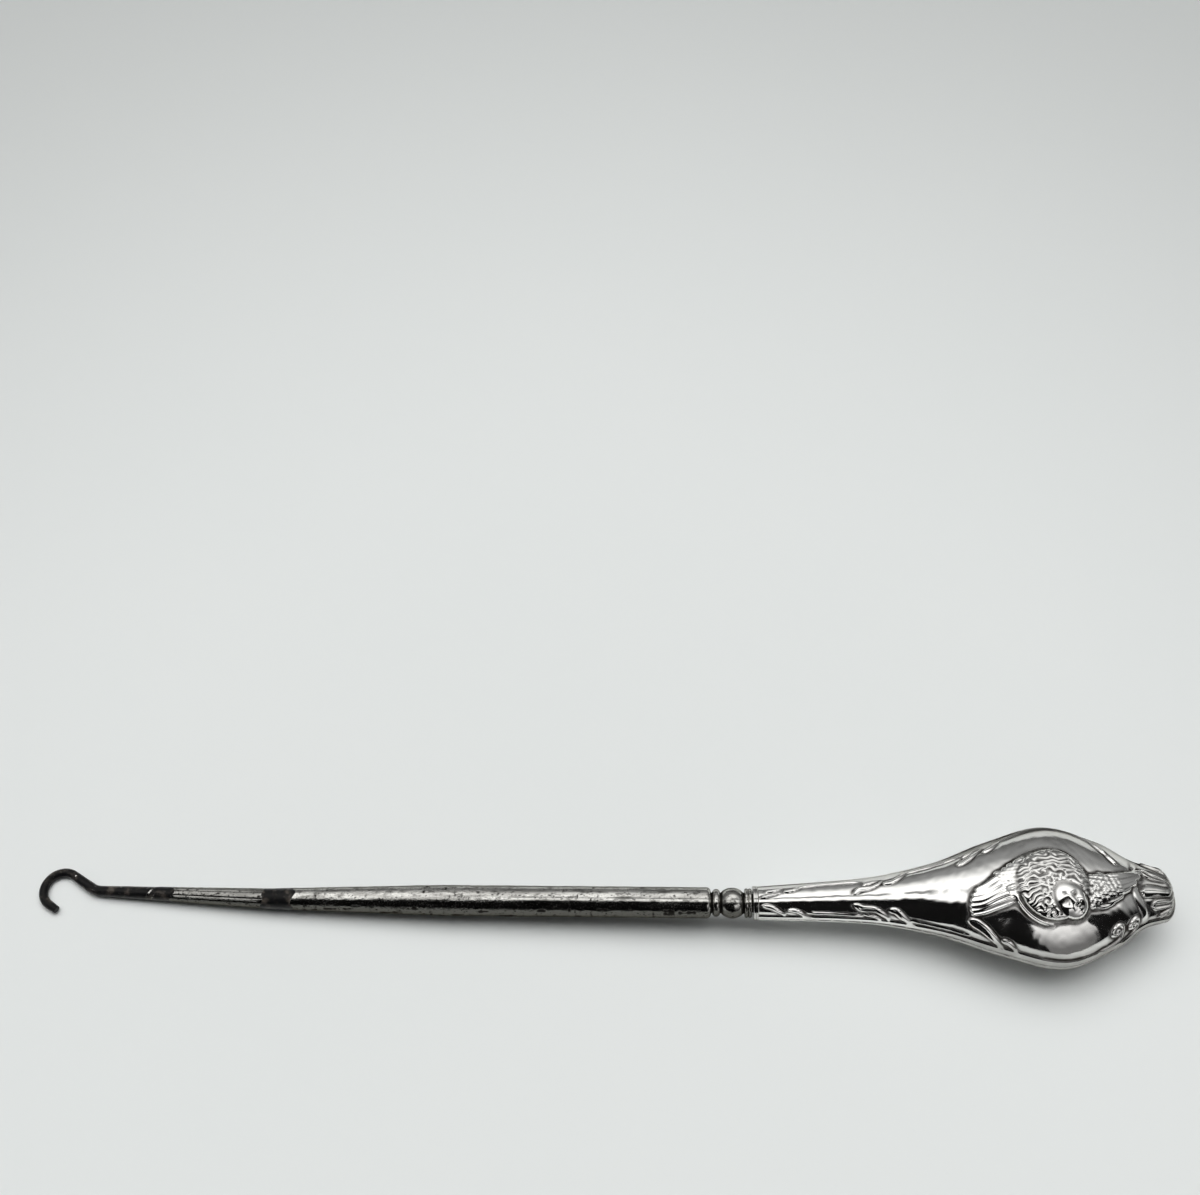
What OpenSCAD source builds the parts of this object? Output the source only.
// Silver-handled steel button hook, lying on its back as it would on a dressing table.
// Plan: the handle's axis is the X axis, with its mouth at x = 0 and its end towards +X.
// The front of the handle faces +Z, and the finished part rests on the bulb's back and on the hook.

/* [Hook] */
// Diameter of the wire round the hook
hook_wire_d = 2.15; // [1.6:0.05:2.8]
// Diameter of the wire at its cut end
tip_d = 1.85; // [1.2:0.05:2.6]
// Radius of the hook, at the middle of the wire
hook_r = 4.45; // [3.8:0.05:7]
// Angle that the hook turns through
hook_turn = 181.7; // [150:0.1:215]
// Straight length from the end of the turn to the cut end
tail_l = 2.6; // [1:0.1:5]
// Straight length between the crook and the hook
run_l = 5.9; // [3:0.1:10]
// Radius of the crook where the wire leaves the shank, at the middle of the wire
crook_r = 5.5; // [3:0.1:10]
// Angle that the crook turns through
crook_turn = 30.1; // [15:0.1:40]

/* [Shank] */
// Diameter of the parallel part of the shank
shank_d = 7.35; // [6:0.05:9]
// Length of the parallel part, with its rounded shoulder
shank_l = 65.5; // [30:0.5:90]
// Radius of the shoulder at the neck
shoulder_r = 1.1; // [0.4:0.1:1.6]
// Length of the taper before the slim end
taper_l = 42; // [20:0.5:60]
// Length of the tapered slim end
slim_l = 42.5; // [20:0.5:60]
// Diameter at the end of the taper, where the crook starts
slim_d = 2.5; // [1.9:0.05:3.2]
// Lean of the shank off the handle's axis, in plan
shank_set = 1.8; // [0:0.1:4]
// Lean of the slim end off the shank, in plan
slim_set = 2.1; // [0:0.1:5]

/* [Turned neck] */
// Diameter of the steel at the bottom of the grooves
core_d = 4.9; // [4.8:0.05:5.4]
// Gap between the neck and the handle's mouth
seat_gap = 0.25; // [0.25:0.05:0.6]
// Width of each of the twin rings at the mouth
pair_w = 0.85; // [0.6:0.05:1.2]
// Diameter of the twin rings
pair_d = 7; // [6.6:0.05:8]
// How far the face of each twin ring bulges
pair_bulge = 0.3; // [0.1:0.02:0.4]
// Width of the bead
bead_w = 5.2; // [3.5:0.1:6.2]
// Diameter of the bead
bead_d = 7.3; // [6.6:0.05:9]
// How far the face of the bead bulges
bead_bulge = 1.1; // [0.5:0.05:1.2]
// Width of the single ring
ring_w = 1.8; // [1:0.05:2.4]
// Diameter of the single ring
ring_d = 6.6; // [6.2:0.05:8]
// How far the face of the single ring bulges
ring_bulge = 0.6; // [0.2:0.05:0.7]
// Width of the grooves between the turnings
groove_w = 0.35; // [0.2:0.05:0.8]

/* [Tang] */
// Diameter of the tang where it passes the rim
tang_root_d = 4.4; // [3.6:0.1:4.6]
// Side of the square tang where it enters the filling
tang_w = 3; // [2.4:0.1:3.2]
// Side of the tang at its point
tang_tip_w = 1.6; // [1:0.1:2.4]
// Length of the tang in the filling
tang_l = 48; // [25:1:60]

/* [Handle outline] */
// Diameter of the handle at its mouth
mouth_d = 7.8; // [7.2:0.1:9]
// Length of the slender stem
stem_l = 26; // [15:0.5:40]
// Width at the end of the stem
stem_w = 10.8; // [9.5:0.1:14]
// Length over which the stem flares
flare_l = 17; // [10:0.5:25]
// Width at the end of the flare
flare_w = 17.2; // [15:0.1:22]
// Length of the rising side of the bulb
swell_l = 14; // [8:0.5:20]
// Width half way up the bulb
swell_w = 27.4; // [24:0.1:32]
// Length of the crown of the bulb
crown_l = 14; // [8:0.5:20]
// Width at the middle of the bulb
bulb_w = 34.6; // [33:0.1:42]
// Length of the falling side of the bulb
fall_l = 13; // [8:0.5:20]
// Width half way down the far side of the bulb
fall_w = 26; // [20:0.1:30]
// Length from there to the nape behind the end cap
nape_l = 8; // [5:0.5:14]
// Width at the nape
nape_w = 16; // [14.5:0.1:19]
// Length of the straight side of the end cap
side_l = 4.5; // [2:0.5:8]
// Width where the cap starts to round over
cap_w = 13.5; // [10:0.1:14]
// Length of the cap's rounded end
cap_l = 3.5; // [2:0.1:7]

/* [Handle thickness] */
// Thickness, front to back, at the end of the stem
stem_t = 10.7; // [9.5:0.1:14]
// Thickness at the end of the flare
flare_t = 15; // [12:0.1:18]
// Thickness half way up the bulb
swell_t = 20; // [18.5:0.1:22]
// Thickness at the middle of the bulb
bulb_t = 22.9; // [22:0.1:30]
// Thickness half way down the far side of the bulb
fall_t = 18.4; // [15:0.1:21]
// Thickness at the nape
nape_t = 12.2; // [11:0.1:14.5]
// Thickness where the cap starts to round over
cap_t = 10.6; // [8:0.1:10.9]

/* [Winged head] */
// How far the middle of the head lies from the middle of the bulb, towards the mouth
head_back = 2; // [-2:0.1:5]
// How far the middle of the head lies off the handle's axis, towards -Y
head_off = 0.7; // [-2:0.1:3]
// Length of the head along the handle
head_l = 16.4; // [12:0.1:19]
// Width of the head across the handle
head_w = 17.4; // [12:0.1:20]
// How far the hair stands out from the bulb
head_h = 1.1; // [0.6:0.1:2.4]
// Lean of the crown of the head from +Y towards the mouth
head_lean = 36.9; // [0:0.1:60]
// Distance of the middle of the face from the middle of the head
face_drop = 5.1; // [3:0.1:6]
// Width of the face
face_w = 8; // [6:0.1:10]
// Height of the face from brow to chin
face_l = 9.6; // [7:0.1:11]
// How far the face stands out from the bulb
face_h = 1.7; // [0.8:0.1:2.8]
// How far the wings stand out from the bulb
wing_h = 0.5; // [0.3:0.05:1.2]
// Length of the wing on the mouth's side, from its root under the head to its tip
left_wing_l = 15.5; // [11:0.1:18]
// Width of that wing at its root
left_wing_w = 10.4; // [8:0.1:13]
// Width of that wing at its tip
left_tip_w = 5.6; // [2:0.1:8]
// Distance of that wing's root from the middle of the head, towards the mouth
left_wing_out = 4.6; // [2:0.1:6]
// Distance of that wing's root from the middle of the head, towards +Y
left_wing_lift = 2.7; // [0:0.1:4]
// Angle of that wing off the handle's axis, towards -Y
left_wing_set = 23.7; // [0:0.1:30]
// Length of the wing on the end's side, from its root under the head to its tip
right_wing_l = 17.3; // [12:0.1:20]
// Width of that wing at its root
right_wing_w = 7.7; // [5:0.1:10]
// Width of that wing at its tip
right_tip_w = 3.6; // [1:0.1:6]
// Distance of that wing's root from the middle of the head, towards the end of the handle
right_wing_out = 7; // [3:0.1:8]
// Distance of that wing's root from the middle of the head, towards -Y
right_wing_drop = 2.4; // [0:0.1:5]
// Angle of that wing off the handle's axis, towards +Y
right_wing_set = 18.7; // [0:0.1:30]

/* [Silver sheet] */
// Thickness of the stamped sheet
wall = 0.45; // [0.3:0.05:0.8]
// Thickness of the solder between the two halves
solder_gap = 0.12; // [0.06:0.02:0.3]
// Width of the rim that closes the mouth
rim_w = 1.2; // [0.8:0.1:2]
// How far the rim stands out from the stem
rim_proud = 0.12; // [0.05:0.01:0.4]
// Clearance of the steel in the rim's hole, on the radius
rim_clear = 0.05; // [0.03:0.01:0.2]
// How far the filling has shrunk away from the sheet under the winged head
fill_slack = 0.7; // [0:0.1:1.5]

/* [Hidden] */
$fn = 64;

// Facets round half a section, and steps along the stem, the bulb and the cap of the handle
half_n = 24;
stem_n = 12;
bulb_n = 33;
cap_n = 5;
// The cap stops short of a point, at this angle round its curve
cap_stop = 78;
// Rounds of correction that find how the part lies
settle_n = 4;
// A ball this much proud of the steel closes each place where two lengths of it meet
ball_proud = 0.03;

// Turnings of the neck, measured from the mouth along the shank
pair_at = seat_gap;
bead_at = pair_at + 2 * pair_w + groove_w;
ring_at = bead_at + bead_w + groove_w;
neck_l = ring_at + ring_w + groove_w;

// Stations of the handle, measured from the mouth
stem_x = stem_l;
flare_x = stem_x + flare_l;
swell_x = flare_x + swell_l;
bulb_x = swell_x + crown_l;
fall_x = bulb_x + fall_l;
nape_x = fall_x + nape_l;
cap_x = nape_x + side_l;

WIDTHS = [
    [0, mouth_d / 2], [stem_x, stem_w / 2], [flare_x, flare_w / 2], [swell_x, swell_w / 2],
    [bulb_x, bulb_w / 2], [fall_x, fall_w / 2], [nape_x, nape_w / 2], [cap_x, cap_w / 2]
];
THICKNESSES = [
    [0, mouth_d / 2], [stem_x, stem_t / 2], [flare_x, flare_t / 2], [swell_x, swell_t / 2],
    [bulb_x, bulb_t / 2], [fall_x, fall_t / 2], [nape_x, nape_t / 2], [cap_x, cap_t / 2]
];

// Smooth curve through stations, level at the peak and with no overshoot between stations
function rise(k, i) = (k[i + 1][1] - k[i][1]) / (k[i + 1][0] - k[i][0]);
function slope(k, i) =
    i == 0 ? rise(k, 0)
    : i == len(k) - 1 ? rise(k, i - 1)
    : rise(k, i - 1) * rise(k, i) <= 0 ? 0
    : 2 * rise(k, i - 1) * rise(k, i) / (rise(k, i - 1) + rise(k, i));
function span(k, x, i = 0) = i >= len(k) - 2 || x <= k[i + 1][0] ? i : span(k, x, i + 1);
function curve(k, x) =
    let(i = span(k, x), l = k[i + 1][0] - k[i][0], u = (x - k[i][0]) / l)
    k[i][1] * (1 + 2 * u) * pow(1 - u, 2) + k[i + 1][1] * u * u * (3 - 2 * u)
    + l * (slope(k, i) * u * pow(1 - u, 2) - slope(k, i + 1) * u * u * (1 - u));

// Section of the handle at step i, drawn in by inset: [x, half width, half thickness]
body_n = stem_n + bulb_n;
steps = body_n + cap_n;
function step_x(i) =
    i <= stem_n
    ? rim_w + (flare_x - rim_w) * i / stem_n
    : flare_x + (cap_x - flare_x) * (i - stem_n) / bulb_n;
function section(i, inset = 0) =
    i <= body_n
    ? let(x = step_x(i))
        [x, curve(WIDTHS, x) - inset, curve(THICKNESSES, x) - inset]
    : let(a = cap_stop * (i - body_n) / cap_n)
        [cap_x + (cap_l - inset) * sin(a), (cap_w / 2 - inset) * cos(a), (cap_t / 2 - inset) * cos(a)];

// Height of the winged head above the front of the bulb, at a place in the plan
head_p = [bulb_x - head_back, -head_off];
crown = [-sin(head_lean), cos(head_lean)];
cheek = [cos(head_lean), sin(head_lean)];
left_wing_p = head_p + [-left_wing_out, left_wing_lift];
right_wing_p = head_p + [right_wing_out, -right_wing_drop];
function dome(across, up) = sqrt(max(0, 1 - across * across - up * up));
function flat_dome(across, up) = sqrt(max(0, 1 - pow(across * across + up * up, 2)));
function hair_rise(p) =
    let(d = p - head_p)
    head_h * flat_dome(2 * d[0] / head_l, 2 * d[1] / head_w);
function face_rise(p) =
    let(d = p - head_p + face_drop * crown)
    face_h * dome(2 * d * cheek / face_w, 2 * d * crown / face_l);
function wing_rise(p, root, way, l, root_w, tip_w) =
    let(
        d = p - root,
        u = d * way / l,
        w = root_w + (tip_w - root_w) * max(0, min(1, u)),
        across = 2 * (d * [-way[1], way[0]]) / w,
        out = u < 0 ? 2 * u * l / root_w : u
    )
    wing_h * max(0, 1 - pow(across, 4) - pow(out, 4));
function figure_rise(p) = max(
    hair_rise(p),
    face_rise(p),
    wing_rise(
        p, left_wing_p, [-cos(left_wing_set), -sin(left_wing_set)], left_wing_l, left_wing_w, left_tip_w
    ),
    wing_rise(
        p, right_wing_p, [cos(right_wing_set), sin(right_wing_set)], right_wing_l, right_wing_w, right_tip_w
    )
);

// Half a ring of points, from +Y over the front to -Y, standing on the solder. figured has the winged head,
// lowered by slack.
function half_ring(i, inset, figured = false, slack = 0) =
    let(s = section(i, inset), o = section(i), foot = solder_gap / 2)
    [
        for (j = [0:half_n])
            let(
                a = 180 * j / half_n,
                out = [0, cos(a) / o[1], sin(a) / o[2]],
                h = figured ? max(0, figure_rise([o[0], o[1] * cos(a)]) - slack) : 0
            )
            [s[0], s[1] * cos(a), foot + (s[2] - foot) * sin(a)] + h * out / norm(out)
    ];
function reversed(list) = [for (i = [len(list) - 1:-1:0]) list[i]];
function flipped(list) = [for (p = list) [p[0], p[1], -p[2]]];
function joined(lists) = [for (list = lists) each list];

// Triangles of a sweep: the skin between rings of m points, and a fan over a ring that starts at point s.
// The second half of a ring is split the other way, so that two sweeps through the same points meet
// face to face.
function skin(m, n) = [
    for (i = [0:n - 1], j = [0:m - 1])
        let(a = i * m + j, b = i * m + (j + 1) % m)
        each j < m / 2 ? [[a, a + m, b], [b, a + m, b + m]] : [[a, a + m, b + m], [a, b + m, b]]
];
function fan(s, m) = [for (j = [1:m - 2]) [s, s + j, s + j + 1]];
function turned_over(faces) = [for (f = faces) reversed(f)];

// Plan of the steel: a heading of 0 runs towards -X and a heading of 90 towards +Y
function ahead(h) = [-cos(h), sin(h), 0];
function aside(h) = [sin(h), cos(h), 0];
function bend_centre(p, h, r, turn) = p + sign(turn) * r * aside(h);
function bend_end(p, h, r, turn) = bend_centre(p, h, r, turn) - sign(turn) * r * aside(h + turn);

mouth_p = [0, 0, 0];
slim_h = shank_set + slim_set;
run_h = slim_h + crook_turn;
tail_h = run_h - hook_turn;
slim_p = mouth_p + (neck_l + shank_l + taper_l) * ahead(shank_set);
crook_p = slim_p + slim_l * ahead(slim_h);
run_p = bend_end(crook_p, slim_h, crook_r, crook_turn);
hook_p = run_p + run_l * ahead(run_h);
hook_c = bend_centre(hook_p, run_h, hook_r, -hook_turn);
tail_p = bend_end(hook_p, run_h, hook_r, -hook_turn);
// One taper runs from the shank to the crook, past the place where the slim end leans
lean_d = shank_d + (slim_d - shank_d) * taper_l / (taper_l + slim_l);

// How the part lies: raised by lie_tilt towards the handle until the bulb and the hook touch the table
function hook_low(t) = (hook_c[0] - hook_r) * sin(t) - hook_wire_d / 2;
function back_low(t) = min([for (i = [0:steps]) let(s = section(i)) s[0] * sin(t) - s[2] * cos(t)]);
function settled(t, n) =
    n == 0 ? t : settled(t + asin((hook_low(t) - back_low(t)) / (bulb_x - hook_c[0])), n - 1);
lie_tilt = settled(0, settle_n);
lift = -min(hook_low(lie_tilt), back_low(lie_tilt));
left_x = (hook_c[0] - hook_r) * cos(lie_tilt) - hook_wire_d / 2;
right_x = max([
    for (i = [body_n:steps])
        let(s = section(i))
        s[0] * cos(lie_tilt) + s[2] * sin(lie_tilt)
]);

module lie() {
    translate([-(left_x + right_x) / 2, 0, lift])
        rotate([0, -lie_tilt, 0])
            children();
}

// Sets a piece that is drawn along +Z at a place in the plan, along a heading
module along(p, h) {
    translate(p)
        rotate([0, 0, -h])
            rotate([0, -90, 0])
                children();
}

// A round length of steel that starts at p, with a ball where it joins the length before it
module rod(p, h, l, d1, d2) {
    along(p, h)
        cylinder(h = l, d1 = d1, d2 = d2);
    ball(p, h, d1);
}

module bend(p, h, r, turn, d) {
    from = atan2(-sign(turn) * cos(h), -sign(turn) * sin(h));
    translate(bend_centre(p, h, r, turn))
        rotate([0, 0, min(from, from - turn)])
            rotate_extrude(angle = abs(turn))
                translate([r, 0])
                    circle(d = d);
    ball(p, h, d);
}

module ball(p, h, d) {
    along(p, h)
        sphere(d = d + 2 * ball_proud);
}

// Half outline of a turned band with a bulging face, standing on the lathe's axis
module band(at, w, d, bulge) {
    r = (w * w / 4 + bulge * bulge) / (2 * bulge);
    intersection() {
        translate([0, at])
            square([d, w]);
        union() {
            translate([0, at])
                square([d / 2 - bulge, w]);
            translate([d / 2 - r, at + w / 2])
                circle(r = r);
        }
    }
}

// Half outline of the parallel shank, with its rounded shoulder at the neck and the taper that follows it
module shank_outline() {
    translate([shank_d / 2 - shoulder_r, shoulder_r])
        circle(r = shoulder_r);
    polygon([
        [0, 0], [shank_d / 2 - shoulder_r, 0], [shank_d / 2, shoulder_r], [shank_d / 2, shank_l],
        [lean_d / 2, shank_l + taper_l], [0, shank_l + taper_l]
    ]);
}

// The turned neck and the shank as far as the slim end, drawn from the mouth along +Z
module turned_steel() {
    rotate_extrude() {
        translate([0, pair_at])
            square([core_d / 2, neck_l - pair_at]);
        for (i = [0, 1])
            band(pair_at + i * pair_w, pair_w, pair_d, pair_bulge);
        band(bead_at, bead_w, bead_d, bead_bulge);
        band(ring_at, ring_w, ring_d, ring_bulge);
        translate([0, neck_l])
            shank_outline();
    }
}

module hook() {
    rod(slim_p, slim_h, slim_l, lean_d, slim_d);
    bend(crook_p, slim_h, crook_r, crook_turn, slim_d);
    rod(run_p, run_h, run_l, slim_d, hook_wire_d);
    bend(hook_p, run_h, hook_r, -hook_turn, hook_wire_d);
    rod(tail_p, tail_h, tail_l, hook_wire_d, tip_d);
}

// The tang: round from inside the neck through the rim, then square and drawn down to its point
module tang() {
    root_back = pair_at + pair_w;
    rotate([0, 90, 0]) {
        translate([0, 0, -root_back])
            cylinder(h = root_back + rim_w, d = tang_root_d);
        translate([0, 0, rim_w])
            linear_extrude(height = tang_l, scale = tang_tip_w / tang_w)
                square(tang_w, center = true);
    }
}

// One stamped half of the handle, with its edges on the solder and a closed end
module half_shell(figured) {
    m = 2 * (half_n + 1);
    last = steps * m;
    points = joined([
        for (i = [0:steps])
            concat(half_ring(i, 0, figured), reversed(half_ring(i, wall, figured)))
    ]);
    mouth = [
        for (j = [0:half_n - 1])
            each [[j, j + 1, m - 1 - j], [j + 1, m - 2 - j, m - 1 - j]]
    ];
    outer_end = turned_over(fan(last, half_n + 1));
    inner_end = turned_over(fan(last + half_n + 1, half_n + 1));
    edge_end = [
        [last, last + half_n + 1, last + half_n],
        [last, last + m - 1, last + half_n + 1]
    ];
    polyhedron(points, concat(skin(m, steps), mouth, outer_end, inner_end, edge_end));
}

module hook_shank() {
    color("dimgray")
        lie() {
            hook();
            along(mouth_p, shank_set)
                turned_steel();
            tang();
        }
}

module front_shell() {
    color("silver")
        lie()
            half_shell(figured = true);
}

module back_shell() {
    color("silver")
        lie()
            mirror([0, 0, 1])
                half_shell(figured = false);
}

module seam_solder() {
    outer = [for (i = [0:steps]) let(s = section(i)) [s[0], s[1]]];
    inner = [for (i = [0:steps]) let(s = section(i, wall)) [s[0], s[1]]];
    outer_far = [for (p = reversed(outer)) [p[0], -p[1]]];
    inner_far = [for (p = inner) [p[0], -p[1]]];
    color("lightgray")
        lie()
            linear_extrude(height = solder_gap, center = true)
                polygon(concat(outer, outer_far, inner_far, reversed(inner)));
}

module mouth_rim() {
    color("gainsboro")
        lie()
            rotate([0, 90, 0])
                difference() {
                    cylinder(h = rim_w, d = mouth_d + 2 * rim_proud);
                    translate([0, 0, -rim_w / 2])
                        cylinder(h = 2 * rim_w, d = tang_root_d + 2 * rim_clear);
                }
}

module handle_filling() {
    m = 2 * (half_n + 1);
    rings = [
        for (i = [0:steps])
            concat(half_ring(i, wall, true, fill_slack), reversed(flipped(half_ring(i, wall))))
    ];
    color("saddlebrown")
        lie()
            difference() {
                polyhedron(
                    joined(rings),
                    concat(skin(m, steps), fan(0, m), turned_over(fan(steps * m, m)))
                );
                tang();
            }
}

hook_shank();
front_shell();
back_shell();
seam_solder();
mouth_rim();
handle_filling();
